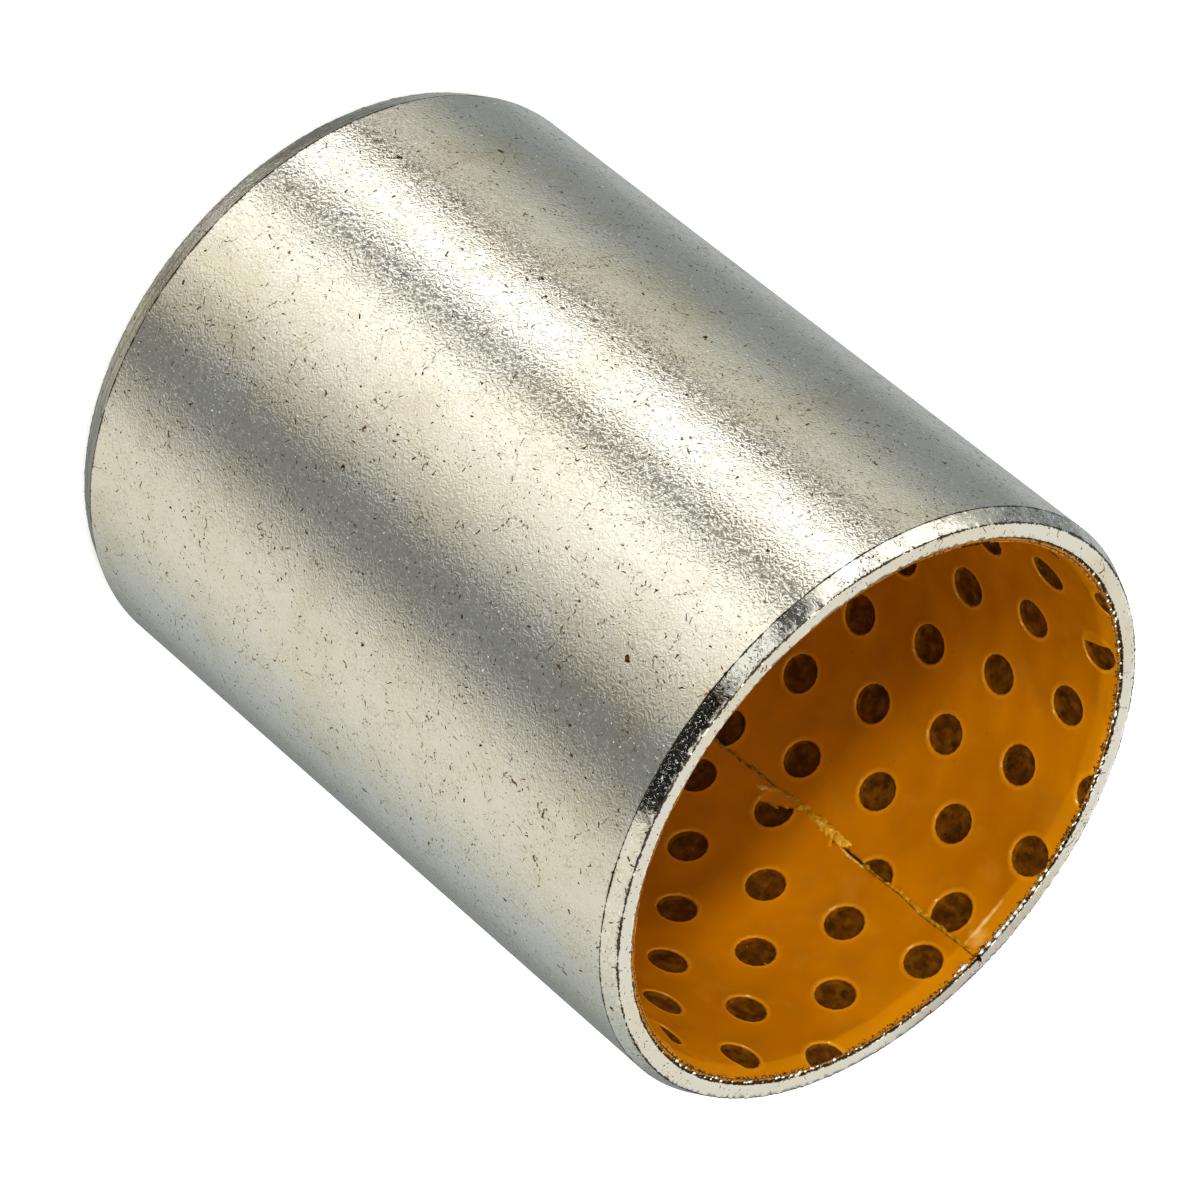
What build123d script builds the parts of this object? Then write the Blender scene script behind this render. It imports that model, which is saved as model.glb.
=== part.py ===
from build123d import *
import math
import os

# Wrapped plain bearing bush: a three-layer strip rolled into a cylinder. Millimetres.
# It stands on its lower end. The origin is the centre of that end, +Z runs along the bore,
# and the butt joint of the strip is on the +Y side.

# Overall sizes
outer_diameter = 39.0
bush_length = 50.0

# Layers of the strip, from the outside in
steel_thickness = 1.45
bronze_thickness = 0.25
lining_thickness = 0.30
layer_setback = 0.10  # the two inner layers stop this far short of each end face

# Butt joint
joint_gap = 0.15

# Chamfers on the outside of the steel: length along the axis, depth into the wall
upper_chamfer_length = 1.0
upper_chamfer_depth = 0.47
lower_chamfer_length = 1.5
lower_chamfer_depth = 0.62

# Lead-in at both ends of the bore, cut in the lining only
lead_in_length = 1.0
lead_in_depth = 0.20

# Lubrication pockets pressed in the lining
pocket_diameter = 2.40
pocket_depth = 0.20

# Pocket pattern, measured on the lining's surface laid out flat.
# A row climbs by row_tilt degrees as it goes round from the joint.
pocket_pitch = 5.58  # between neighbours in a row
row_spacing = 4.82  # square to the rows
row_stagger = 2.48  # shift of each row along the one above
row_tilt = 19.0
first_pocket_from_joint = 1.12
first_pocket_from_top = 3.15
least_bite = 0.15  # a pocket that would cut less than this into the strip is left out

# How far the cutting tools pass beyond what they cut
tool_overrun = 1.0

outer_radius = outer_diameter / 2
steel_inner_radius = outer_radius - steel_thickness
bronze_inner_radius = steel_inner_radius - bronze_thickness
bore_radius = bronze_inner_radius - lining_thickness
wall_thickness = outer_radius - bore_radius
strip_width = 2 * math.pi * bore_radius

layer_bottom = layer_setback
layer_top = bush_length - layer_setback
pocket_radius = pocket_diameter / 2


# Tool for the butt joint, a thin slot through the whole wall
with BuildPart() as joint_tool:
    with Locations((0, bore_radius + wall_thickness / 2, bush_length / 2)):
        Box(joint_gap, wall_thickness + 2 * tool_overrun, bush_length + 2 * tool_overrun)


# Steel backing
with BuildPart() as steel_backing:
    with BuildSketch(Plane.XZ):
        with BuildLine():
            Polyline(
                (steel_inner_radius, 0),
                (outer_radius - lower_chamfer_depth, 0),
                (outer_radius, lower_chamfer_length),
                (outer_radius, bush_length - upper_chamfer_length),
                (outer_radius - upper_chamfer_depth, bush_length),
                (steel_inner_radius, bush_length),
                close=True,
            )
        make_face()
    revolve(axis=Axis.Z)
    add(joint_tool.part, mode=Mode.SUBTRACT)


# Sintered bronze between the steel and the lining
with BuildPart() as bronze_interlayer:
    with BuildSketch(Plane.XY.offset(layer_bottom)):
        Circle(steel_inner_radius)
        Circle(bronze_inner_radius, mode=Mode.SUBTRACT)
    extrude(amount=layer_top - layer_bottom)
    add(joint_tool.part, mode=Mode.SUBTRACT)


# Tool for one pocket: its floor is at the local origin and its mouth is toward local +Z
with BuildPart() as pocket_tool:
    with BuildSketch():
        Circle(pocket_radius)
    extrude(amount=pocket_depth + tool_overrun)


# Distance round from the joint and height of every pocket that cuts the strip
def pocket_places():
    tilt = math.radians(row_tilt)
    along = Vector(math.cos(tilt), math.sin(tilt))
    down = Vector(math.sin(tilt), -math.cos(tilt))
    start = Vector(first_pocket_from_joint, bush_length - first_pocket_from_top)
    margin = pocket_radius - least_bite
    reach = math.ceil((strip_width + bush_length) / min(pocket_pitch, row_spacing))
    for row in range(-reach, reach + 1):
        for column in range(-reach, reach + 1):
            place = start + along * (column * pocket_pitch + row * row_stagger) + down * (row * row_spacing)
            if -margin < place.X < strip_width + margin and -margin < place.Y < bush_length + margin:
                yield place.X, place.Y


# Plane on a pocket's floor, facing the bore's axis
def floor_plane(distance, height):
    angle = math.pi / 2 + distance / bore_radius
    outward = Vector(math.cos(angle), math.sin(angle))
    floor_centre = outward * (bore_radius + pocket_depth) + Vector(0, 0, height)
    return Plane(origin=floor_centre, x_dir=(0, 0, 1), z_dir=-outward)


# Tool for a pocket that the strip's edge cuts off: it stops at the joint
def cut_off_tool(distance, height):
    with BuildPart() as tool:
        with Locations(floor_plane(distance, height)):
            add(pocket_tool.part)
        split(bisect_by=Plane.YZ, keep=Keep.BOTTOM if distance < strip_width / 2 else Keep.TOP)
    return tool.part


whole_pockets = []
cut_pockets = []
for distance, height in pocket_places():
    if pocket_radius < distance < strip_width - pocket_radius:
        whole_pockets.append(floor_plane(distance, height))
    else:
        cut_pockets.append(cut_off_tool(distance, height))
print(len(whole_pockets), "whole pockets,", len(cut_pockets), "cut by the joint")


# Polymer lining
with BuildPart() as polymer_lining:
    with BuildSketch(Plane.XZ):
        with BuildLine():
            Polyline(
                (bronze_inner_radius, layer_bottom),
                (bronze_inner_radius, layer_top),
                (bore_radius + lead_in_depth, layer_top),
                (bore_radius, layer_top - lead_in_length),
                (bore_radius, layer_bottom + lead_in_length),
                (bore_radius + lead_in_depth, layer_bottom),
                close=True,
            )
        make_face()
    revolve(axis=Axis.Z)
    with Locations(*whole_pockets):
        add(pocket_tool.part, mode=Mode.SUBTRACT)
    add(cut_pockets, mode=Mode.SUBTRACT)
    add(joint_tool.part, mode=Mode.SUBTRACT)


steel_backing.part.label = "steel_backing"
bronze_interlayer.part.label = "bronze_interlayer"
polymer_lining.part.label = "polymer_lining"

os.makedirs("parts", exist_ok=True)
export_step(steel_backing.part, "parts/steel_backing.step")
export_step(bronze_interlayer.part, "parts/bronze_interlayer.step")
export_step(polymer_lining.part, "parts/polymer_lining.step")
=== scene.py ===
import math
import random
from functools import partial

import bmesh
import bpy
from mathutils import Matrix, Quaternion, Vector, noise


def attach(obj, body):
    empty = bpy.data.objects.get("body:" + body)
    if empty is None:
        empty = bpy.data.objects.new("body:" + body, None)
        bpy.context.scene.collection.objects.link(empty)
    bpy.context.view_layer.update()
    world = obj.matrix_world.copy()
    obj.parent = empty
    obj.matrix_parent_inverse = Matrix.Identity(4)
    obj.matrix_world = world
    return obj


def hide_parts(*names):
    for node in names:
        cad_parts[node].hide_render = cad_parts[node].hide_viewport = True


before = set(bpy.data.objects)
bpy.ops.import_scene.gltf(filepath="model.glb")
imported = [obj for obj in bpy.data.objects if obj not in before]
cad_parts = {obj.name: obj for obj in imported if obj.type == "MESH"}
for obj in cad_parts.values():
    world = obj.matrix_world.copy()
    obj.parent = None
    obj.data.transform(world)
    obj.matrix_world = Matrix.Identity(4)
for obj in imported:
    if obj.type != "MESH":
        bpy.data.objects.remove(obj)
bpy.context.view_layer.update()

# A rolled plain bearing bush standing on its lower end: tinned steel outside,
# sintered bronze between, amber acetal lining with grease pockets. Metres, +Z up the bore.

mm = 0.001
scene = bpy.context.scene
scene.view_settings.view_transform = "Standard"

# Radii and heights shared by the pieces, all in millimetres
bush = {
    "outerRadius": 19.5,
    "steelInner": 18.05,
    "bronzeInner": 17.8,
    "boreRadius": 17.5,
    "length": 50.0,
    "setback": 0.10,  # lining and bronze stop this far short of the end faces
    "jointGap": 0.15,
}


def hexColour(code):
    channels = [int(code[i:i + 2], 16) / 255 for i in (1, 3, 5)]
    linear = [c / 12.92 if c <= 0.04045 else ((c + 0.055) / 1.055) ** 2.4 for c in channels]
    return (*linear, 1.0)


def metres(sizes):
    return [size * mm for size in sizes]


# What Blender calls the mode of each kind of node that is given one
modes = {
    "Math": "operation", "VectorMath": "operation", "Mix": "data_type",
    "MapRange": "interpolation_type", "TexVoronoi": "feature", "TexNoise": "noise_type",
}


# Inputs go by name, or in order as a list (for a noise: vector, scale, detail, roughness).
# Another node's socket is linked, and anything else is set.
def addNode(tree, kind, inputs=(), mode=None, **settings):
    node = tree.nodes.new("ShaderNode" + kind)
    if mode:
        settings[modes[kind]] = mode
    for name, value in settings.items():
        setattr(node, name, value)
    sockets = [s for s in node.inputs if s.enabled]
    if isinstance(inputs, dict):
        sockets = [next(s for s in sockets if s.name == name) for name in inputs]
        inputs = inputs.values()
    for socket, value in zip(sockets, inputs):
        if isinstance(value, bpy.types.NodeSocket):
            tree.links.new(value, socket)
        else:
            socket.default_value = hexColour(value) if isinstance(value, str) else value
    return next((s for s in node.outputs if s.enabled), None)


# A material without nodes, and addNode bound to its tree
def newMaterial(name):
    material = bpy.data.materials.new(name)
    material.use_nodes = True
    material.node_tree.nodes.clear()
    return material, partial(addNode, material.node_tree)


def onlySelect(piece):
    bpy.ops.object.select_all(action="DESELECT")
    piece.select_set(True)
    bpy.context.view_layer.objects.active = piece


# Distance from the bore's axis
def fromAxis(add, place):
    flat = add("VectorMath", [place, (1, 1, 0)], "MULTIPLY")
    return add("VectorMath", [flat], "LENGTH")


# Spots, at most one to a cell: each cell's chance, and how deep inside its spot a point lies.
# Cells under the least chance have none, and the rest reach from small to large.
def spotDepth(add, place, cell, least, small, large, channel=0):
    cells = add("TexVoronoi", [place, 1 / (cell * mm)]).node.outputs
    chance = add("SeparateColor", [cells["Color"]]).node.outputs[channel]
    reach = add("MapRange", [chance, least, 1.0, small, large])
    return chance, add("Math", [reach, cells["Distance"]], "SUBTRACT")


def startEditing(piece):
    onlySelect(piece)
    bpy.ops.object.mode_set(mode="EDIT")


def stopEditing():
    bpy.ops.object.mode_set(mode="OBJECT")


def faceOutwards(piece):
    startEditing(piece)
    bpy.ops.mesh.select_all(action="SELECT")
    bpy.ops.mesh.normals_make_consistent(inside=False)
    stopEditing()


# In edit mode, leaves selected only the verts, edges or faces that pass the test
def pick(kind, test):
    bpy.ops.mesh.select_mode(type=kind)
    bpy.ops.mesh.select_all(action="DESELECT")
    mesh = bpy.context.object.data
    shape = bmesh.from_edit_mesh(mesh)
    for part in {"VERT": shape.verts, "EDGE": shape.edges, "FACE": shape.faces}[kind]:
        if test(part):
            part.select_set(True)
    shape.select_flush_mode()
    bmesh.update_edit_mesh(mesh)


def onBoundary(edge):
    return edge.is_boundary


# Cuts the faces that pass the test, or all there is, along a plane
def cutAcross(place, normal, test=None, clear=False):
    if test:
        pick("FACE", test)
    else:
        bpy.ops.mesh.select_all(action="SELECT")
    bpy.ops.mesh.bisect(plane_co=place, plane_no=normal, clear_outer=clear, threshold=0.001 * mm)


def applyModifier(piece, kind, **settings):
    onlySelect(piece)
    modifier = piece.modifiers.new(kind.title(), kind)
    for name, value in settings.items():
        setattr(modifier, name, value)
    bpy.ops.object.modifier_apply(modifier=modifier.name)


# Pushes the surface in and out by clouds: their size in mm, octaves, contrast, still level
# and strength in mm
def roughen(piece, pattern, group=""):
    size, octaves, contrast, middle, strength = pattern
    clouds = bpy.data.textures.new("clouds", "CLOUDS")
    clouds.noise_scale, clouds.noise_depth, clouds.contrast = size * mm, octaves, contrast
    applyModifier(piece, "DISPLACE", texture=clouds, texture_coords="LOCAL", vertex_group=group,
                  mid_level=middle, strength=strength * mm)


# Unit vector towards a place, its azimuth and elevation in degrees
def towards(azimuth, elevation):
    azimuth, elevation = math.radians(azimuth), math.radians(elevation)
    level = math.cos(elevation)
    return Vector((math.sin(azimuth) * level, -math.cos(azimuth) * level, math.sin(elevation)))


view = {
    "azimuth": 8.915,
    "elevation": 35.495,
    "roll": 129.51,  # the bush leans over to the right
    "distance": 386.6,
    "aim": (0.69, 0.42, 25.43),
    "lens": 200.04,
    "clip": (0.01, 10),
}


def placeCamera():
    data = bpy.data.cameras.new("benchCamera")
    camera = bpy.data.objects.new("benchCamera", data)
    scene.collection.objects.link(camera)
    back = towards(view["azimuth"], view["elevation"])
    camera.location = (Vector(view["aim"]) + back * view["distance"]) * mm
    roll = Quaternion((0, 0, 1), math.radians(view["roll"]))
    camera.rotation_mode = "QUATERNION"
    camera.rotation_quaternion = (-back).to_track_quat("-Z", "Y") @ roll
    data.lens = view["lens"]
    data.clip_start, data.clip_end = view["clip"]
    scene.camera = camera
    print("camera placed")


# Azimuths in degrees round the bush from the camera's side, counterclockwise seen from above
studio = {
    "lowPanels": [  # (from, to, level, colour): what the wall of the bush mirrors
        (-176, -150, 0.50, "#F6FDFF"),
        (-140, -112, 0.31, "#F2FCFF"),
        (-86, -79, 0.70, "#FFFDF0"),
        (-76.5, -73, 0.0, "#FFFFFF"),
        (-68.5, -47, 1.45, "#FFFFFF"),
        (-42, -38.5, 0.12, "#FFFFFF"),
        (-30, -16, 1.25, "#FFFFFA"),
        (-8, 2, 0.98, "#FFFDF4"),
        (9, 17, 0.60, "#FFFDF4"),
        (28, 45, 0.24, "#F8FCFF"),
        (71, 96, 0.79, "#FFFCF0"),
        (128, 134, 0.50, "#F6FFFF"),
        (152, 172, 0.28, "#F6FFFF"),
    ],
    "highPanels": [  # what the chamfer and edges mirror
        (-176, -140, 0.95, "#FFFFFF"),
        (-128, -106, 0.25, "#FAFFF8"),
        (-90, -43, 1.40, "#FFFFFF"),
        (-34, -26, 0.10, "#FFFFFF"),
        (-21, -6, 1.05, "#FAFDFF"),
        (4, 45, 0.015, "#FFFFFF"),
        (51, 110, 0.84, "#FFFCF0"),
        (145, 160, 0.25, "#F6FFFF"),
    ],
    "ceiling": "#E8E6DE",
    "ceilingFrom": 0.38,  # sine of the elevation where the ceiling begins
    "ceilingBlend": 0.10,
    "horizonBlend": 0.08,
    "topLamp": (6.0, 900, 900),  # watts, height and size in mm
    # watts, azimuth from the camera's, elevation, distance, width and height
    "frontLamp": (4.4, -10, 22.8, 900, 460, 60),
}


def fillRamp(ramp, stops):
    ramp.elements.remove(ramp.elements[-1])
    ramp.elements[0].position, ramp.elements[0].color = stops[0]
    for position, shade in stops[1:]:
        ramp.elements.new(position).color = shade


# Two stops for each panel, at its two ends
def panelStops(panels):
    stops = []
    for start, end, level, colour in panels:
        shade = [c * level for c in hexColour(colour)[:3]] + [1]
        stops += [((start + 180) / 360, shade), ((end + 180) / 360, shade)]
    return stops


def lightStudio():
    world = bpy.data.worlds.new("studioSurround")
    scene.world = world
    world.use_nodes = True
    world.node_tree.nodes.clear()
    add = partial(addNode, world.node_tree)
    direction = add("TexCoord").node.outputs["Generated"]
    fromCamera = (0, 0, math.radians(90 - view["azimuth"]))
    turned = add("Mapping", {"Vector": direction, "Rotation": fromCamera})
    parts = add("SeparateXYZ", [turned]).node.outputs
    angle = add("Math", [parts[1], parts[0]], "ARCTAN2")
    turn = add("MapRange", [angle, -math.pi, math.pi])
    low, high = add("ValToRGB", [turn]), add("ValToRGB", [turn])
    fillRamp(low.node.color_ramp, panelStops(studio["lowPanels"]))
    fillRamp(high.node.color_ramp, panelStops(studio["highPanels"]))
    aboveHorizon = add("MapRange", [parts[2], 0.0, studio["horizonBlend"]])
    walls = add("Mix", [aboveHorizon, low, high], "RGBA")
    start = studio["ceilingFrom"]
    nearCeiling = add("MapRange", [parts[2], start, start + studio["ceilingBlend"]])
    room = add("Mix", [nearCeiling, walls, studio["ceiling"]], "RGBA")
    seenByCamera = add("LightPath").node.outputs["Is Camera Ray"]
    colour = add("Mix", [seenByCamera, room, "#FFFFFF"], "RGBA")
    surround = add("Background", {"Color": colour, "Strength": 1.0})
    add("OutputWorld", [surround])

    watts, height, size = studio["topLamp"]
    bpy.ops.object.light_add(type="AREA", location=(0, 0, height * mm))
    lamp = bpy.context.object
    lamp.name = "topSoftbox"
    lamp.data.energy, lamp.data.size = watts, size * mm
    watts, around, elevation, distance, width, height = studio["frontLamp"]
    toLamp = towards(view["azimuth"] + around, elevation)
    place = (toLamp * distance + Vector((0, 0, bush["length"]))) * mm
    bpy.ops.object.light_add(type="AREA", location=place)
    lamp = bpy.context.object
    lamp.name = "frontSoftbox"
    lamp.data.shape, lamp.data.energy = "RECTANGLE", watts
    lamp.data.size, lamp.data.size_y = width * mm, height * mm
    lamp.rotation_euler = toLamp.to_track_quat("Z", "Y").to_euler()
    lamp.visible_glossy = False  # its reflection would whiten the chamfer
    print("studio lit")


# White paper that keeps the shadow; the mirror-bright steel looks through it to the studio's panels
paper = {"white": (0.78, 0.78, 0.78, 1), "lift": 0.42, "size": 8}


def layFloor():
    bpy.ops.object.select_all(action="DESELECT")
    bpy.ops.mesh.primitive_plane_add(size=paper["size"], location=(0, 0, 0))
    floor = bpy.context.object
    floor.name = "paperFloor"
    material, add = newMaterial("matt white paper")
    rays = add("LightPath").node.outputs
    white = add("BsdfDiffuse", {"Color": paper["white"]})
    glow = add("Emission", {"Color": (1, 1, 1, 1), "Strength": paper["lift"]})
    lifted = add("AddShader", [white, glow])
    shown = add("MixShader", [rays["Is Camera Ray"], white, lifted])
    clear = add("BsdfTransparent")
    mixed = add("MixShader", [rays["Is Glossy Ray"], shown, clear])
    add("OutputMaterial", [mixed])
    floor.data.materials.append(material)
    print("floor laid")


# The outline of a wall's section at the joint, left in edit mode; radii and heights in mm
def drawSection(name, inner, outer, low, high):
    middle = (0, (inner + outer) / 2 * mm, (low + high) / 2 * mm)
    bpy.ops.object.select_all(action="DESELECT")
    bpy.ops.mesh.primitive_plane_add(size=1, rotation=(0, math.pi / 2, 0), location=middle)
    piece = bpy.context.object
    piece.name = name
    bpy.ops.object.transform_apply(location=True, rotation=True, scale=True)
    startEditing(piece)
    bpy.ops.mesh.select_all(action="SELECT")
    size = (1, (outer - inner) * mm, (high - low) * mm)
    bpy.ops.transform.resize(value=size, center_override=middle)
    bpy.ops.mesh.delete(type="ONLY_FACE")
    return piece


# Turns the section round the bore, leaving the joint open by an angle at +Y
def rollUp(piece, gap, steps):
    stopEditing()
    applyModifier(piece, "SCREW", axis="Z", angle=2 * math.pi - gap, steps=steps,
                  render_steps=steps, use_smooth_shade=True)
    piece.rotation_euler.z = gap / 2
    bpy.ops.object.transform_apply(location=False, rotation=True, scale=False)
    startEditing(piece)


def closeEnds(piece):
    pick("EDGE", onBoundary)
    bpy.ops.mesh.fill_holes(sides=0)
    stopEditing()
    faceOutwards(piece)


shell = {
    "upperChamfer": (1.0, 0.47),  # along the bush and across
    "lowerChamfer": (1.5, 0.62),
    "edgeRound": (0.06, 4, 0.7),  # size, segments and profile
    "steps": 840,
    "outerGap": 0.03,  # the joint is closed up outside and open at the bore
    "innerNotch": (0.45, 0.10),  # how far out from the bore it opens, and by how much a side
    "rows": (2.1, 1.25, 0.3, 48.4, 49.3, 49.7),  # beside each edge, so that chips there stay local
    "rings": (18.50, 18.72, 18.30),
    "chipRims": ((18.05, 50.0), (19.03, 50.0), (18.88, 0.0)),  # radius and height
    "chips": (0.22, 2, 2.5, 0.9, 0.05),
    "chipReach": 0.12,
    "smoothBelow": 35,
}


def makeSteelShell():
    piece = drawSection("steelShell", bush["steelInner"], bush["outerRadius"], 0, bush["length"])
    (upperRise, upperIn), (lowerRise, lowerIn) = shell["upperChamfer"], shell["lowerChamfer"]
    for height in (lowerRise, bush["length"] - upperRise):
        cutAcross((0, 0, height * mm), (0, 0, 1))
    tiny = 0.01 * mm
    innermost = bush["steelInner"] * mm + tiny
    outermost, top = bush["outerRadius"] * mm - tiny, bush["length"] * mm - tiny
    pick("VERT", lambda v: v.co.y > outermost and v.co.z > top)
    bpy.ops.transform.translate(value=(0, -upperIn * mm, 0))
    pick("VERT", lambda v: v.co.y > outermost and v.co.z < tiny)
    bpy.ops.transform.translate(value=(0, -lowerIn * mm, 0))
    pick("VERT", lambda v: v.co.y > innermost or v.co.z < tiny or v.co.z > top)
    size, segments, profile = shell["edgeRound"]
    bpy.ops.mesh.bevel(offset=size * mm, offset_type="OFFSET", segments=segments,
                       profile=profile, affect="VERTICES")
    for height in shell["rows"]:
        cutAcross((0, 0, height * mm), (0, 0, 1))
    for radius in shell["rings"]:
        cutAcross((0, radius * mm, 0), (0, 1, 0))
    rollUp(piece, shell["outerGap"] / bush["outerRadius"], shell["steps"])

    reach, width = shell["innerNotch"]
    notch = (bush["steelInner"] + 0.6 * reach) * mm
    for side in (-1, 1):
        pick("VERT", lambda v: v.co.y > 0 and 0 < side * v.co.x < 0.05 * mm
             and math.hypot(v.co.x, v.co.y) < notch)
        bpy.ops.transform.translate(value=(side * width * mm, 0, 0))
    bpy.ops.mesh.select_all(action="SELECT")
    bpy.ops.mesh.remove_doubles(threshold=0.0005 * mm)
    closeEnds(piece)

    # Small knocks along the edges
    edges = piece.vertex_groups.new(name="edges")
    for vertex in piece.data.vertices:
        radius, height = math.hypot(vertex.co.x, vertex.co.y) / mm, vertex.co.z / mm
        near = min(math.hypot(radius - r, height - h) for r, h in shell["chipRims"])
        if near < shell["chipReach"]:
            edges.add([vertex.index], 1 - near / shell["chipReach"], "REPLACE")
    roughen(piece, shell["chips"], "edges")
    bpy.ops.object.shade_smooth_by_angle(angle=math.radians(shell["smoothBelow"]))
    print("steel shell made")
    return piece


bronze = {
    "steps": 600,
    "rings": (0.25, 0.5, 0.75),  # shares of the way out
    "grains": (0.16, 1, 2.0, 0.6, 0.10),
    # how much lower than their setback the ends lie, and how much more opposite the joint
    "endDip": (0.06, 0.08),
    "smoothBelow": 35,
}


def makeBronzeLayer():
    inner, outer = bush["bronzeInner"], bush["steelInner"]
    low, high = bush["setback"], bush["length"] - bush["setback"]
    piece = drawSection("bronzeLayer", inner, outer, low, high)
    for share in bronze["rings"]:
        cutAcross((0, (inner + share * (outer - inner)) * mm, 0), (0, 1, 0))
    rollUp(piece, bush["jointGap"] / inner, bronze["steps"])
    closeEnds(piece)

    dip, more = bronze["endDip"]
    for vertex in piece.data.vertices:
        down = dip * mm - more * vertex.co.y / outer
        vertex.co.z += down if vertex.co.z < bush["length"] / 2 * mm else -down

    # Ragged grains on the cut ends
    ends = piece.vertex_groups.new(name="ends")
    within = [v.index for v in piece.data.vertices
              if inner + 0.02 < math.hypot(v.co.x, v.co.y) / mm < outer - 0.02]
    ends.add(within, 1.0, "REPLACE")
    roughen(piece, bronze["grains"], "ends")
    bpy.ops.object.shade_smooth_by_angle(angle=math.radians(bronze["smoothBelow"]))
    print("bronze layer made")
    return piece


# An empty piece in edit mode, to be filled with pebbles
def startPebbles(name):
    bpy.ops.object.select_all(action="DESELECT")
    bpy.ops.mesh.primitive_ico_sphere_add(subdivisions=2, location=(0, 0, 0))
    piece = bpy.context.object
    piece.name = name
    startEditing(piece)
    bpy.ops.mesh.select_all(action="SELECT")
    bpy.ops.mesh.delete(type="VERT")
    return piece


def addPebble(place, size, turn, axis):
    bpy.ops.mesh.primitive_ico_sphere_add(subdivisions=2, radius=0.5 * mm, location=place)
    bpy.ops.transform.resize(value=size, center_override=place)
    bpy.ops.transform.rotate(value=turn, orient_axis=axis, center_override=place)


beads = {
    "seed": 7,
    # degrees round from the joint, length, width and height in mm
    "large": [(1.1, 0.48, 0.40, 0.30), (3.0, 0.54, 0.42, 0.32), (5.7, 0.72, 0.50, 0.36),
              (7.2, 0.38, 0.38, 0.30), (8.3, 0.42, 0.40, 0.31), (9.5, 0.42, 0.38, 0.30),
              (10.8, 0.40, 0.40, 0.31), (12.2, 0.48, 0.40, 0.31), (13.5, 0.32, 0.32, 0.26),
              (16.4, 0.44, 0.36, 0.28), (18.7, 0.46, 0.36, 0.28), (20.6, 0.32, 0.28, 0.24)],
    "smallRuns": [(22.0, 96.0, 44), (-8.0, -84.0, 34)],  # from, to, how many
    "smallSize": (0.12, 0.26),
    "radius": 17.83,
    "height": 49.90,
    # beside the joint: degrees round, radius and size
    "nubs": [(-3.5, 17.62, 0.60), (-4.5, 17.58, 0.34), (-2.7, 17.74, 0.28), (-5.6, 17.70, 0.30)],
    "jitter": (-0.02, 0.03),  # how far the large ones stray from their radius
    "spread": (-0.02, 0.16),  # and the small ones
    "stretch": (1.0, 1.6),  # their length, in widths
    "flat": 0.8,  # and their height
    "nubShape": (0.7, 0.5),  # width and height of a nub, in lengths
    "lumps": (0.16, 1, 1.0, 0.5, 0.035),
}


def makeTinBeads():
    random.seed(beads["seed"])
    ring = beads["radius"]
    places = [(turn, ring + random.uniform(*beads["jitter"]), *size)
              for turn, *size in beads["large"]]
    for start, end, count in beads["smallRuns"]:
        for _ in range(count):
            size = random.uniform(*beads["smallSize"])
            places.append((random.uniform(start, end), ring + random.uniform(*beads["spread"]),
                           size * random.uniform(*beads["stretch"]), size, size * beads["flat"]))
    wide, high = beads["nubShape"]
    places += [(turn, radius, size, wide * size, high * size)
               for turn, radius, size in beads["nubs"]]

    piece = startPebbles("tinBeads")
    for angle, radius, length, width, height in places:
        turn = math.radians(90 + angle)
        place = Vector((radius * math.cos(turn), radius * math.sin(turn), beads["height"])) * mm
        addPebble(place, (width, length, height), -turn, "Z")  # long way along +Y before it turns
    stopEditing()
    roughen(piece, beads["lumps"])
    faceOutwards(piece)
    bpy.ops.object.shade_smooth()
    print("tin beads made")
    return piece


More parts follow.
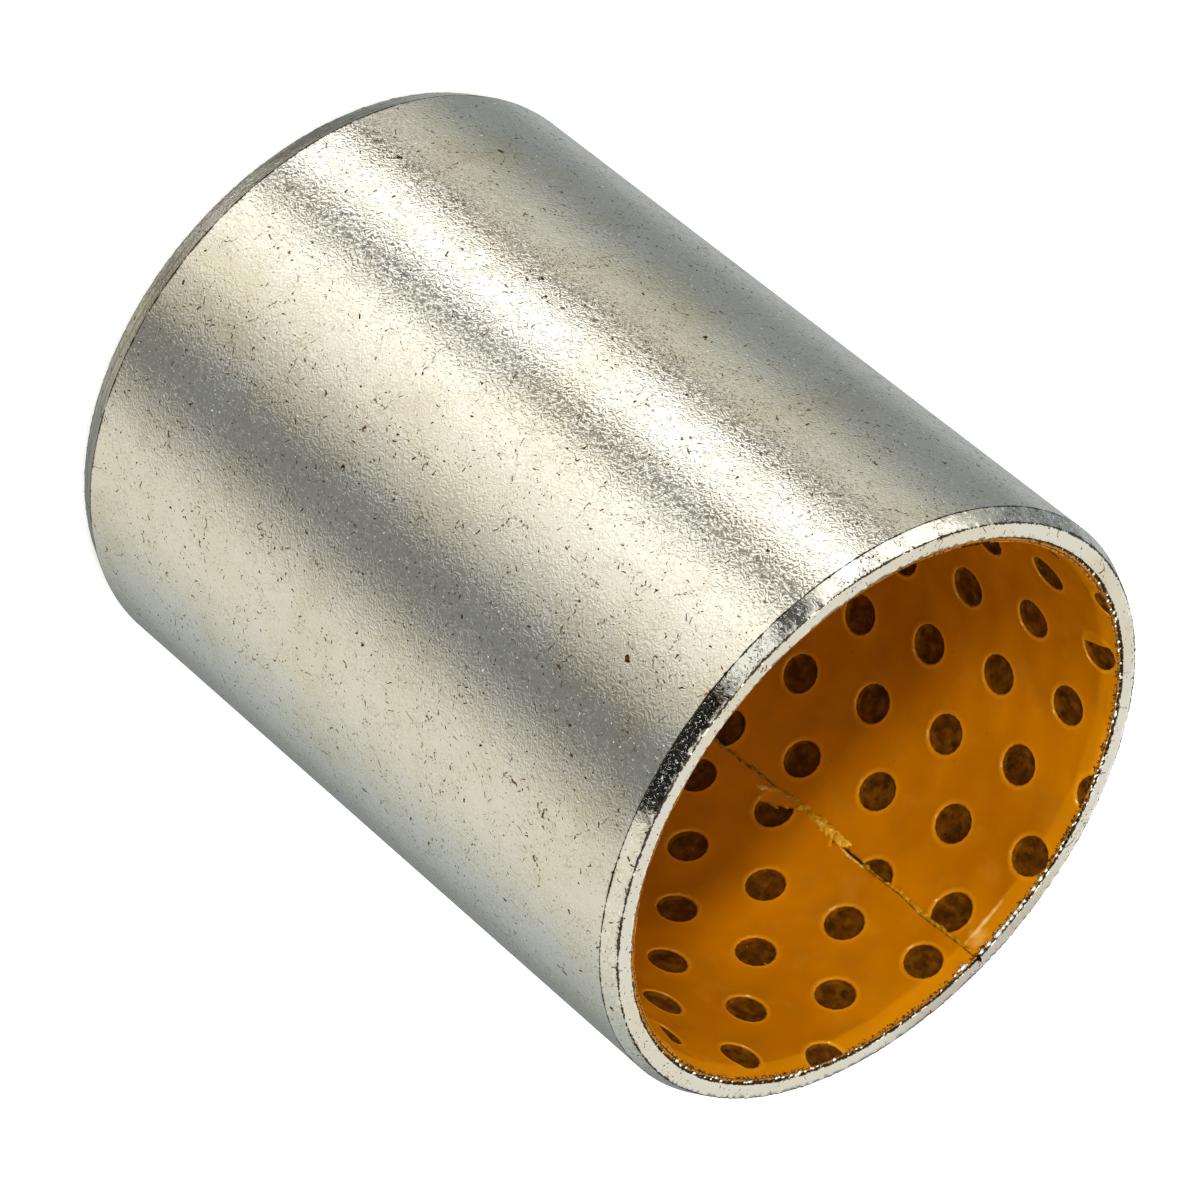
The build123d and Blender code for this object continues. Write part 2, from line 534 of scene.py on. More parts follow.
lining = {
    "pocketPitch": 5.58,
    "rowSpacing": 4.82,
    "rowStagger": 2.48,
    "rowTilt": 19.0,
    "fromJoint": 1.12,
    "jointGap": 0.07,  # the acetal has crept closer together than the steel
    "fromTop": 3.15,
    "corner": (-8, -2),  # columns and rows from the first pocket to where the strip starts
    "grid": (26, 20),
    # radius, height against the bore and share of dirt of each ring of a pocket, from its floor
    # out; below 0 it is the strength of the rim's painted highlight
    "pocketRings": [(1.05, -0.20, 1.0), (1.18, -0.05, 0.9), (1.30, 0.05, -0.7), (1.62, 0.0, 0.0)],
    "sides": 16,
    "leadIn": (1.0, 0.20),
    # how high acetal stands along one side of the joint, how far from it the ridge's top lies
    # and how wide it is; and how deep the other side is cut
    "ridge": (0.14, 0.2, 0.5),
    "trough": 0.12,
    "ridgeReach": 1.2,
    "ridgeWaves": 0.9,  # how quickly the ridge comes and goes along the joint
    "wanderReach": 2.5,
    "uneven": (0.05, 2.5),  # height of the ends' unevenness, and how quick it is round the bore
    # heights between which a pocket is squeezed shut, and its reach from the joint;
    # how deep it is cut there, and how far from the joint
    "pressedOver": (37.6, 41.2, 1.6),
    "pressedCut": (0.14, 0.4),
    # pockets half shut by a lip: their places on the strip, which way the lip lies and how far
    # from the middle
    "overrun": [(-34.12, 48.55, -20, 0.45), (32.94, 46.15, 205, -0.15), (29.02, 49.90, 90, -2.0),
                (53.87, 32.97, -22, 0.28)],
    "jointLines": (0.3, 0.6, 1.1, 2.2),  # cuts beside the joint, for its ridge and wander
    "jointRows": 100,
    "jointReach": (4.0, 1.1),  # how far from the joint those lines and rows of cuts reach
    # a lip's sloping edge, its reach from the pocket's middle, its height, and its tone as a rim,
    # with the rim's painted highlight
    "lipEdge": 0.12,
    "lipReach": 1.25,
    "lipRise": 0.03,
    "lipTone": -0.4,
    "backStrips": 120,
    # where a pocket's rim has its painted lit side, from its middle; how far that side turns from
    # straight down towards the joint, and how far from the joint it has turned so much
    "litFrom": 0.9,
    "litTowardsJoint": 0.8,
    "litTurns": 13.0,
    # how much lower than its setback the end lies, and how much more opposite the joint
    "endDip": (0.07, 0.09),
    # height and how far round the joint wanders there, in mm
    "jointWander": [(0, 0.05), (12, -0.12), (20, 0.10), (26.2, -0.15), (28.7, -0.09), (32.3, 0.06),
                    (34.1, 0.13), (35.8, 0.21), (38.9, -0.12), (41.7, -0.26), (43.5, -0.18),
                    (45.4, -0.34), (47.1, -0.26), (48.8, -0.19), (50, -0.15)],
    "smoothBelow": 40,
}


def wander(height):
    stops = lining["jointWander"]
    for (low, a), (high, b) in zip(stops, stops[1:]):
        if low <= height <= high:
            return a + (b - a) * (height - low) / (high - low)
    return 0.0


def makePolymerLining():
    tilt = math.radians(lining["rowTilt"])
    along = Vector((math.cos(tilt), 0, math.sin(tilt)))
    down = Vector((math.sin(tilt), 0, -math.cos(tilt)))
    columnStep = along * lining["pocketPitch"]
    rowStep = along * lining["rowStagger"] + down * lining["rowSpacing"]
    stripWidth = 2 * math.pi * bush["boreRadius"]
    firstPocket = (lining["fromJoint"] - stripWidth / 2, 0, bush["length"] - lining["fromTop"])
    columns, rows = lining["corner"]
    corner = Vector(firstPocket) + columnStep * columns + rowStep * rows
    sides, rings = lining["sides"], lining["pocketRings"]
    rimEnd = rings[-1][0] + 0.1

    # One pocket in its share of the flat strip: bore face at y = 0, +y towards the bore
    bpy.ops.object.select_all(action="DESELECT")
    facing = (math.pi / 2, 0, 0)
    radius, depth, _ = rings[0]
    place = (corner + Vector((0, depth, 0))) * mm
    bpy.ops.mesh.primitive_circle_add(vertices=sides, radius=radius * mm, fill_type="NGON",
                                      location=place, rotation=facing)
    piece = bpy.context.object
    piece.name = "polymerLining"
    bpy.ops.object.transform_apply(location=True, rotation=True, scale=True)
    startEditing(piece)
    middle = corner * mm
    for (lastRadius, lastDepth, _), (radius, depth, _) in zip(rings, rings[1:]):
        pick("EDGE", onBoundary)
        rise = (0, (depth - lastDepth) * mm, 0)
        bpy.ops.mesh.extrude_edges_move(TRANSFORM_OT_translate={"value": rise})
        grow = radius / lastRadius
        bpy.ops.transform.resize(value=(grow, 1, grow), center_override=middle)
    bpy.ops.mesh.select_all(action="DESELECT")
    bpy.ops.mesh.primitive_plane_add(size=0.2 * mm, location=middle, rotation=facing)
    bpy.ops.mesh.delete(type="ONLY_FACE")
    tiny = 0.01 * mm
    for signX, signZ in ((1, 1), (1, -1), (-1, -1), (-1, 1)):
        goal = (columnStep * signX - rowStep * signZ) * 0.5 * mm
        start = Vector((0.1 * signX, 0, 0.1 * signZ)) * mm
        pick("VERT", lambda v: (v.co - middle - start).length < tiny)
        bpy.ops.transform.translate(value=goal - start)
    pick("EDGE", lambda e: not e.link_faces)
    bpy.ops.mesh.subdivide(number_cuts=sides // 4 - 1)
    pick("EDGE", lambda e: len(e.link_faces) < 2)
    bpy.ops.mesh.bridge_edge_loops()
    stopEditing()

    # 1 on the floor and wall of the pocket, below 0 on its raised rim, which gets a painted
    # highlight
    pocket = piece.data.attributes.new("pocket", "FLOAT", "POINT")
    for vertex in piece.data.vertices:
        reach = (Vector((vertex.co.x, 0, vertex.co.z)) - middle).length / mm
        ring = min(rings, key=lambda r: abs(r[0] - reach))
        pocket.data[vertex.index].value = ring[2] if reach < rimEnd else 0.0
    for count, step in zip(lining["grid"], (columnStep, rowStep)):
        applyModifier(piece, "ARRAY", count=count, use_relative_offset=False,
                      use_constant_offset=True, constant_offset_displace=step * mm)

    startEditing(piece)
    bpy.ops.mesh.select_all(action="SELECT")
    bpy.ops.mesh.remove_doubles(threshold=tiny)
    end = (stripWidth - lining["jointGap"]) / 2 * mm
    low, high = bush["setback"] * mm, (bush["length"] - bush["setback"]) * mm
    for side in (1, -1):
        cutAcross((side * end, 0, 0), (side, 0, 0), clear=True)
    cutAcross((0, 0, high), (0, 0, 1), clear=True)
    cutAcross((0, 0, low), (0, 0, -1), clear=True)
    leadLength, leadDepth = lining["leadIn"]
    for share in (1, 0.5):
        for height in (high - share * leadLength * mm, low + share * leadLength * mm):
            cutAcross((0, 0, height), (0, 0, 1))
    lineReach, rowReach = metres(lining["jointReach"])
    for inset in lining["jointLines"]:
        for side in (-1, 1):
            cutAcross((side * (end - inset * mm), 0, 0), (1, 0, 0),
                      lambda f: abs(f.calc_center_median().x) > end - lineReach)
    for row in range(1, lining["jointRows"]):
        cutAcross((0, 0, low + row * (high - low) / lining["jointRows"]), (0, 0, 1),
                  lambda f: abs(f.calc_center_median().x) > end - rowReach)
    lips = []
    for x, z, turn, reach in lining["overrun"]:
        middle = Vector((x, 0, z))
        away = Vector((math.cos(math.radians(turn)), 0, math.sin(math.radians(turn))))
        lips.append((middle, away, reach))
        for inset in (0.0, lining["lipEdge"]):
            cutAcross((middle + away * (reach + inset)) * mm, away,
                      lambda f: (f.calc_center_median() - middle * mm).length < 2 * mm)

    # Close the back: walls down from the cut edges, then one sheet from end to end
    back = (bush["boreRadius"] - bush["bronzeInner"]) * mm  # below the bore face
    pick("EDGE", onBoundary)
    bpy.ops.mesh.extrude_edges_move(TRANSFORM_OT_translate={"value": (0, 4 * back, 0)})
    bpy.ops.transform.resize(value=(1, 0, 1), center_override=(0, back, 0))
    pick("EDGE", onBoundary)
    bpy.ops.mesh.edge_face_add()
    for turn in range(1, lining["backStrips"]):
        cutAcross(((2 * turn / lining["backStrips"] - 1) * end, 0, 0), (1, 0, 0),
                  lambda f: f.calc_center_median().y < back + tiny)
    stopEditing()

    # The cut ends slope away from the bore, and the joint wanders and carries a ridge
    litSide = piece.data.attributes.new("litSide", "FLOAT", "POINT")
    pocket = piece.data.attributes["pocket"]
    top, bottom, deepest = high / mm, low / mm, back / mm + 0.01
    shutFrom, shutTo, shutReach = lining["pressedOver"]
    cut, cutReach = lining["pressedCut"]
    crest, crestAt, crestWide = lining["ridge"]
    turned = columnStep.x * rowStep.z - columnStep.z * rowStep.x
    for vertex in piece.data.vertices:
        place = vertex.co / mm
        onBore = place.y > deepest
        fromEnd = min(top - place.z, place.z - bottom)
        slope = max(0.0, 1 - fromEnd / leadLength)
        if slope > 0:
            place.y = min(place.y, -leadDepth * slope)
        fromJoint = end / mm - abs(place.x)
        offset = Vector((place.x, 0, place.z)) - corner
        column = round((offset.x * rowStep.z - offset.z * rowStep.x) / turned)
        row = round((columnStep.x * offset.z - columnStep.z * offset.x) / turned)
        offset -= column * columnStep + row * rowStep
        # Which way each rim's painted highlight and glint face
        if lining["litFrom"] < offset.length < rimEnd:
            aside = lining["litTowardsJoint"] * min(1.0, fromJoint / lining["litTurns"])
            lit = Vector((math.copysign(aside, place.x), 0, -math.sqrt(1 - aside * aside)))
            litSide.data[vertex.index].value = offset.normalized().dot(lit)
        if place.x > 0 and fromJoint < shutReach and shutFrom < place.z < shutTo and onBore:
            place.y = -cut * max(0.0, 1 - fromJoint / cutReach)
            pocket.data[vertex.index].value = 0.0
        for middle, away, lip in lips:
            offset = Vector((place.x, 0, place.z)) - middle
            beyond = offset.dot(away) - lip - lining["lipEdge"] / 2
            if offset.length < lining["lipReach"] and beyond > 0 and onBore:
                place.y = lining["lipRise"] - leadDepth * slope
                pocket.data[vertex.index].value = lining["lipTone"]
        if onBore and fromJoint < lining["ridgeReach"]:
            ridge = noise.noise(Vector((4.0, 0.0, place.z * lining["ridgeWaves"]))) * 0.5 + 0.5
            if place.x > 0:
                place.y += crest * ridge * max(0.0, 1 - abs(fromJoint - crestAt) / crestWide)
            elif fromJoint < crestAt:
                place.y -= lining["trough"] * ridge
        place.x += wander(place.z) * max(0.0, 1 - fromJoint / lining["wanderReach"])
        if fromEnd < 0.02:
            dip, more = lining["endDip"]
            height, waves = lining["uneven"]
            uneven = height * noise.noise(Vector((place.x * waves, 3.0, place.z)))
            dip += more * math.cos(place.x / bush["boreRadius"]) + uneven
            place.z += dip if place.z < bush["length"] / 2 else -dip
        vertex.co = place * mm

    # Roll the strip up, and bring its bore face to the bore
    across = [v.co.x for v in piece.data.vertices]
    radius = bush["boreRadius"] * mm
    applyModifier(piece, "SIMPLE_DEFORM", deform_method="BEND", deform_axis="Z",
                  angle=(max(across) - min(across)) / radius)
    startEditing(piece)
    bpy.ops.mesh.select_all(action="SELECT")
    bpy.ops.transform.translate(value=(0, -radius, 0))
    stopEditing()
    faceOutwards(piece)
    bpy.ops.object.shade_smooth_by_angle(angle=math.radians(lining["smoothBelow"]))
    print("polymer lining made")
    return piece


burr = {
    "seed": 3,
    # from height, to height, how far round from the joint at each, width, rise above the bore
    # and paleness
    "runs": [
        (0.3, 49.6, 0.00, 0.00, 0.16, 0.01, 0.20),
        (33.4, 36.8, -0.06, 0.00, 0.66, 0.14, 0.52),
        (35.7, 38.2, -0.10, 0.06, 0.56, 0.22, 0.70),
        (36.2, 37.6, -0.32, -0.20, 0.26, 0.16, 0.64),
        (37.2, 38.4, 0.16, 0.26, 0.22, 0.16, 0.84),
        (38.3, 40.2, -0.26, -0.18, 0.13, 0.10, 0.80),
        (38.2, 40.2, -0.06, 0.00, 0.20, 0.03, 0.02),
        (40.2, 43.0, 0.00, 0.10, 0.18, 0.10, 0.36),
        (42.4, 45.8, 0.13, 0.13, 0.28, 0.14, 0.54),
        (45.6, 49.4, 0.12, 0.08, 0.26, 0.11, 0.42),
        (31.0, 31.8, -0.56, -0.36, 0.32, 0.12, 0.80),
        (31.8, 33.4, -0.16, -0.04, 0.44, 0.10, 0.52),
        (32.5, 33.0, -0.92, -1.00, 0.24, 0.00, 0.46),
        (33.0, 33.5, -0.62, -0.58, 0.22, 0.02, 0.50),
        (24.0, 31.0, 0.00, 0.00, 0.30, 0.05, 0.30),
    ],
    "crumb": 0.30,  # mm from one crumb of a run to the next
    "voxel": 0.045,
    "sway": 0.15,  # how far a crumb strays from its line, in widths
    "widths": (0.6, 1.2),  # each crumb's share of its run's width, rise and spacing
    "rises": (0.5, 1.1),
    "lengths": (2.0, 3.2),
    "sunk": 0.03,  # mm by which a crumb's middle lies under the bore face
    "least": 0.06,  # mm that every crumb is thick
    "tilt": 0.3,
    "ragged": (0.28, 2, 1.6, 0.5, 0.09),
    "plainTone": 0.2,  # paleness where no run is near
}


def makeJointBurr():
    random.seed(burr["seed"])
    piece = startPebbles("jointBurr")
    for low, high, lowAround, highAround, width, rise, _ in burr["runs"]:
        crumbs = max(2, round((high - low) / burr["crumb"]))
        for crumb in range(crumbs):
            share = (crumb + 0.5) / crumbs
            height = low + (high - low) * share
            around = lowAround + (highAround - lowAround) * share + wander(height)
            around += random.uniform(-burr["sway"], burr["sway"]) * width
            # Distance round from the joint runs towards -X there
            place = Vector((-around, bush["boreRadius"] + burr["sunk"], height)) * mm
            size = (width * random.uniform(*burr["widths"]),
                    2 * (rise + burr["sunk"]) * random.uniform(*burr["rises"]) + burr["least"],
                    burr["crumb"] * random.uniform(*burr["lengths"]))
            addPebble(place, size, random.uniform(-burr["tilt"], burr["tilt"]), "Y")
    stopEditing()
    # The crumbs melt into one ragged ridge
    applyModifier(piece, "REMESH", mode="VOXEL", voxel_size=burr["voxel"] * mm)
    roughen(piece, burr["ragged"])
    applyModifier(piece, "SMOOTH", factor=0.5, iterations=2)

    # Each vertex takes its tone from the nearest run
    paleness = piece.data.attributes.new("paleness", "FLOAT", "POINT")
    for vertex in piece.data.vertices:
        height = vertex.co.z / mm
        around = -vertex.co.x / mm - wander(height)
        tone, nearest = burr["plainTone"], 1.0
        for low, high, lowAround, highAround, width, rise, pale in burr["runs"]:
            share = min(1.0, max(0.0, (height - low) / (high - low)))
            beyond = max(low - height, height - high, 0.0)
            aside = around - lowAround - (highAround - lowAround) * share
            away = math.hypot(beyond, aside) - 0.4 * width - 0.3 * rise
            if away < nearest:
                tone, nearest = pale, away
        paleness.data[vertex.index].value = tone
    faceOutwards(piece)
    bpy.ops.object.shade_smooth()
    print("joint burr made")
    return piece


tinPlate = {
    "bright": "#F0EDE2",
    "warm": "#E9DFC2",
    "stroke": "#A9946A",
    "stain": "#B99A6A",
    "darkerLow": "#8C8470",
    "pit": "#1C1611",
    "ochrePit": "#765026",
    "rust": "#6E4220",
    "glintFleck": "#D4D8D8",
    "shaded": "#A7A294",
    "roughness": (0.10, 0.18),
    "faceFrom": (49.88, 49.96),  # heights where the end face begins
    "chamferFrom": (48.95, 49.05),
    "lowerTurned": (1.44, 1.52),
    # mm across: clouds of wear, dots, the shaking of the ripples, slow waves, the raggedness
    # of the seams, drifts of tone, and the bends of the cracks
    "patch": 1.4,
    "dot": 0.22,
    "shake": 0.4,
    "wave": 2.6,
    "grit": 0.16,
    "drift": 7,
    "bend": 3,
    # The curls are finer on the real tin, and would not show so small
    "ripple": 0.16,  # mm across the small ripples that the rolls left
    "wrinkle": 0.24,
    "rippleHeight": 0.0095,
    "throws": (0.3, 0.7),  # mm by which the ripples are bent, and the pits
    # mm to a cell, least chance of a cell that has a pit, and the smallest and largest reach
    "pits": ((0.38, 0.05, 0.03, 0.092), (1.9, 0.65, 0.05, 0.15)),
    "crackCell": 4.5,
    # mm to a cell of the pale flecks, which are painted glints
    "glintFlecks": 0.38,
    "strokes": 0.16,
    "etchedTo": (10.5, 12.5),  # mm towards +X, where the dark strokes on the chamfer thin out
    "shadedFrom": (16.5, 18.2),  # mm towards the joint, where the end face gets its painted shade
    "rustSpot": (3.9, -18.95, 49.45),  # one brown patch on the chamfer
    "hairline": (-13.72, -12.75, 50.0),  # a short crack right across the end face
    "hairlineShape": (0.035, 0.42, 0.5),
    "edgeLine": (0.060, 0.085),  # mm from an edge where its dark seam is full, and where it ends
    "glowReach": 0.28,
}


# Hot-tinned steel strip, rolled up and turned at the ends: it gives the eye a mirror-bright
# skin broken by fine ripples, brown-black pits, and dark seams along the turned edges
def makeTinnedSteel():
    material, add = newMaterial("tin-plated steel")
    place = add("TexCoord").node.outputs["Object"]
    parts = add("SeparateXYZ", [place]).node.outputs
    height = parts[2]
    radius = fromAxis(add, place)
    onFace = add("MapRange", [height, *metres(tinPlate["faceFrom"])])
    onChamfer = add("MapRange", [height, *metres(tinPlate["chamferFrom"])])
    onChamfer = add("Math", [onChamfer, onFace], "SUBTRACT")
    patches = add("TexNoise", [place, 1 / (tinPlate["patch"] * mm), 2.0])
    worn = add("MapRange", [patches, 0.46, 0.52])
    dots = add("TexNoise", [place, 1 / (tinPlate["dot"] * mm), 0.0])
    dots = add("MapRange", [dots, 0.50, 0.58])

    # Ripples all over but the turned end face, and slow waves under them
    shake = add("TexNoise", [place, 1 / (tinPlate["shake"] * mm), 0.0])
    shake = shake.node.outputs["Color"]
    crooked, ragged = (add("VectorMath", [shake, (throw * mm,) * 3, place], "MULTIPLY_ADD")
                       for throw in tinPlate["throws"])
    wrinkles, fine = (add("TexNoise", {
        "Vector": crooked, "Scale": 1 / (tinPlate[size] * mm), "Detail": 0.0, "Offset": 1.0},
        "RIDGED_MULTIFRACTAL") for size in ("wrinkle", "strokes"))
    ripples = add("TexVoronoi", [crooked, 1 / (tinPlate["ripple"] * mm)])
    waves = add("TexNoise", [place, 1 / (tinPlate["wave"] * mm), 0.0])
    relief = add("Math", [ripples, 0.5, wrinkles], "MULTIPLY_ADD")
    relief = add("Math", [waves, 0.8, relief], "MULTIPLY_ADD")
    strength = add("MapRange", [height, *metres(tinPlate["chamferFrom"]), 1.0, 0.3])
    strength = add("Mix", [onFace, strength, 0.14])
    bump = add("Bump", {"Strength": strength, "Distance": tinPlate["rippleHeight"] * mm,
                        "Height": relief})

    # Curly strokes where the tin has run thin between ripples
    crests = add("MapRange", [wrinkles, 0.74, 0.96], "SMOOTHSTEP")
    amount = add("MapRange", [patches, 0.35, 0.65, 0.08, 0.45])
    curls = add("Math", [crests, amount], "MULTIPLY")
    curls = add("Mix", [onFace, curls, 0.0])

    # Pits in two sizes
    pits = None
    for cell, least, small, large in tinPlate["pits"]:
        chance, depth = spotDepth(add, ragged, cell, least, small / cell, large / cell)
        present = add("Math", [chance, least], "GREATER_THAN")
        inside = add("MapRange", [depth, 0.0, 0.02 / cell])
        inside = add("Math", [inside, present], "MULTIPLY")
        pits = add("Math", [inside, pits], "MAXIMUM") if pits else inside

    # Cracks are lines of dots; one crosses the end face, and dark strokes crowd on the chamfer
    bend = add("TexNoise", [place, 1 / (tinPlate["bend"] * mm), 3.0])
    bent = add("VectorMath", [bend.node.outputs["Color"], (tinPlate["bend"] * mm,) * 3, crooked],
               "MULTIPLY_ADD")
    cracks = add("TexVoronoi", [bent, 1 / (tinPlate["crackCell"] * mm)],
                 "DISTANCE_TO_EDGE")
    cracks = add("MapRange", [cracks, 0.003, 0.011, 1.0, 0.0])
    hairline = add("Mapping", [place, [-c for c in metres(tinPlate["hairline"])]])
    hairline = add("VectorMath", [hairline, tinPlate["hairlineShape"]], "DIVIDE")
    hairline = add("VectorMath", [hairline], "LENGTH")
    hairline = add("MapRange", [hairline, 0.6 * mm, 1.0 * mm, 0.9, 0.0])
    etched = add("MapRange", [fine, 0.80, 0.90])
    plain = add("Math", [1.0, dots], "SUBTRACT")
    thinning = add("MapRange", [parts[0], *metres(tinPlate["etchedTo"]), 1.0, 0.12])
    for mask in (dots, worn):
        cracks = add("Math", [cracks, mask], "MULTIPLY")
    for mask in (worn, onChamfer, plain, thinning):
        etched = add("Math", [etched, mask], "MULTIPLY")
    for mark in (cracks, hairline, etched):
        pits = add("Math", [pits, mark], "MAXIMUM")

    # Pale flecks and short strokes, which are painted glints, crowded on the chamfer and sparse on
    # the wall
    _, depth = spotDepth(add, crooked, tinPlate["glintFlecks"], 0.2, 0.0, 0.16, channel=1)
    glintFlecks = add("MapRange", [depth, 0.0, 0.05, 0.0, 0.7])
    strokes = add("MapRange", [fine, 0.90, 0.98])
    for mask in (onChamfer, dots):
        strokes = add("Math", [strokes, mask], "MULTIPLY")
    glintFlecks = add("Math", [glintFlecks, strokes], "MAXIMUM")
    glintFlecks = add("Mix", [onFace, glintFlecks, 0.0])

    # Dark seams and a rusty glow where the wall, chamfer and end face meet
    grit = add("TexNoise", [place, 1 / (tinPlate["grit"] * mm), 2.0])
    grit = add("MapRange", [grit, 0.3, 0.7, -0.045 * mm, 0.045 * mm])
    thick = add("MapRange", [patches, 0.40, 0.62, 0.025 * mm, -0.03 * mm])
    grit = add("Math", [grit, thick], "ADD")
    outer, top = bush["outerRadius"], bush["length"]
    (upperRise, upperIn), (lowerRise, _) = shell["upperChamfer"], shell["lowerChamfer"]
    nearest = None
    # Radius and height of each edge, and how much narrower its seam is
    for ring, level, narrow in ((outer, top - upperRise, 1.7), (outer - upperIn, top, 0.95),
                                (outer, lowerRise, 1.5), (bush["steelInner"], top, 1.5)):
        out = add("Math", [radius, ring * mm], "SUBTRACT")
        up = add("Math", [height, level * mm], "SUBTRACT")
        away = add("VectorMath", [add("CombineXYZ", [out, up])], "LENGTH")
        away = add("Math", [away, narrow], "MULTIPLY")
        nearest = add("Math", [away, nearest], "MINIMUM") if nearest else away
    away = add("Math", [nearest, grit], "ADD")
    full, gone = metres(tinPlate["edgeLine"])
    seam = add("MapRange", [away, full, gone, 0.95, 0.0])
    glow = add("MapRange", [away, full, tinPlate["glowReach"] * mm, 0.32, 0.0],
               "SMOOTHSTEP")
    rusty = add("MapRange", [patches, 0.40, 0.62])
    glow = add("Math", [glow, rusty], "MULTIPLY")
    glow = add("Mix", [onFace, glow, 0.0])

    # Stains, the painted shade on the end face beside the joint, the lower chamfer darker in
    # lathe-mark rings, and the brown patch
    drift = add("TexNoise", [place, 1 / (tinPlate["drift"] * mm), 3.0]).node.outputs
    warm = add("MapRange", [drift["Fac"], 0.42, 0.70, 0.0, 0.5])
    tan = add("SeparateColor", [drift["Color"]]).node.outputs[1]
    tan = add("MapRange", [tan, 0.56, 0.72, 0.0, 0.15], "SMOOTHSTEP")
    # Painted shade: the end face is greyed towards the joint
    shade = add("MapRange", [parts[1], *metres(tinPlate["shadedFrom"]), 0.0, 0.45])
    shade = add("Math", [shade, onFace], "MULTIPLY")
    # The lower chamfer is darker, in rings round the bore
    lower = add("MapRange", [height, *metres(tinPlate["lowerTurned"]), 0.85, 0.0])
    turning = add("VectorMath", [place, (0.3, 0.3, 5)], "MULTIPLY")
    turning = add("TexNoise", [turning, 1 / (1.2 * mm), 2.0])
    turning = add("MapRange", [turning, 0.35, 0.65, 0.5, 1.0])
    lower = add("Math", [lower, turning], "MULTIPLY")
    spot = add("VectorMath", [place, metres(tinPlate["rustSpot"])], "SUBTRACT")
    spot = add("VectorMath", [spot], "LENGTH")
    spot = add("Math", [grit, 6.0, spot], "MULTIPLY_ADD")
    spot = add("MapRange", [spot, 0.30 * mm, 0.65 * mm, 0.6, 0.0])
    brown = add("MapRange", [dots, 0.0, 1.0, 0.25, 1.0])
    brown = add("Mix", [onChamfer, brown, 0.1])
    dark = add("Mix", [brown, tinPlate["pit"], tinPlate["ochrePit"]], "RGBA")
    colour = tinPlate["bright"]
    for share, tint in ((warm, "warm"), (tan, "stain"), (curls, "stroke"), (shade, "shaded"),
                        (lower, "darkerLow"), (glow, "rust"), (spot, "stain"), (glintFlecks, "glintFleck")):
        colour = add("Mix", [share, colour, tinPlate[tint]], "RGBA")
    colour = add("Mix", [pits, colour, dark], "RGBA")
    colour = add("Mix", [seam, colour, tinPlate["pit"]], "RGBA")

    dull = add("Math", [pits, seam], "MAXIMUM")
    dull = add("Math", [dull, glintFlecks], "MAXIMUM")
    roughness = add("MapRange", [patches, 0.3, 0.7, *tinPlate["roughness"]])
    roughness = add("Mix", [onChamfer, roughness, 0.06])
    roughness = add("Mix", [dull, roughness, 0.5])
    metallic = add("MapRange", [glintFlecks, 0.0, 1.0, 1.0, 0.1])
    shader = add("BsdfPrincipled", {
        "Base Color": colour, "Metallic": metallic, "Roughness": roughness, "Normal": bump})
    add("OutputMaterial", [shader])
    return material


sinter = {
    "dark": "#16100B",
    "brown": "#3C2714",
    "smear": "#E6E2D8",
    "acetal": "#9A620A",
    "whisker": "#1C1206",
    "grain": 0.17,  # mm across, as are the next two
    "blotch": 0.5,
    "smearSize": 0.24,
    "grainHeight": 0.03,
    "draggedTo": (18.09, 18.13),  # radii up to which acetal is dragged over the bronze
}


# Porous bronze sintered on the steel: at the cut ends it gives the eye a black-brown
# line, dotted with tin that the tool smeared over its grains
def makeSinteredBronze():
    material, add = newMaterial("sintered bronze")
    place = add("TexCoord").node.outputs["Object"]
    grains = add("TexVoronoi", [place, 1 / (sinter["grain"] * mm)])
    blotches = add("TexNoise", [place, 1 / (sinter["blotch"] * mm), 3.0])
    brown = add("MapRange", [blotches, 0.40, 0.60])
    smears = add("TexNoise", [place, 1 / (sinter["smearSize"] * mm), 2.0])
    smears = add("MapRange", [smears, 0.64, 0.69])
    radius = fromAxis(add, place)
    radius = add("Math", [blotches, 0.35 * mm, radius], "MULTIPLY_ADD")
    dragged = add("MapRange", [radius, *metres(sinter["draggedTo"]), 1.0, 0.0])
    whiskers = add("MapRange", [grains, 0.30, 0.42])
    film = add("Mix", [whiskers, sinter["whisker"], sinter["acetal"]], "RGBA")
    colour = sinter["dark"]
    for share, tint in ((brown, sinter["brown"]), (smears, sinter["smear"]), (dragged, film)):
        colour = add("Mix", [share, colour, tint], "RGBA")
    roughness = add("MapRange", [smears, 0.0, 1.0, 0.6, 0.22])
    metallic = add("MapRange", [dragged, 0.0, 1.0, 0.8, 0.0])
    bump = add("Bump", {"Strength": 1.0, "Distance": sinter["grainHeight"] * mm, "Height": grains})
    shader = add("BsdfPrincipled", {
        "Base Color": colour, "Metallic": metallic, "Roughness": roughness,
        "Specular IOR Level": 0.15, "Normal": bump})
    add("OutputMaterial", [shader])
    return material


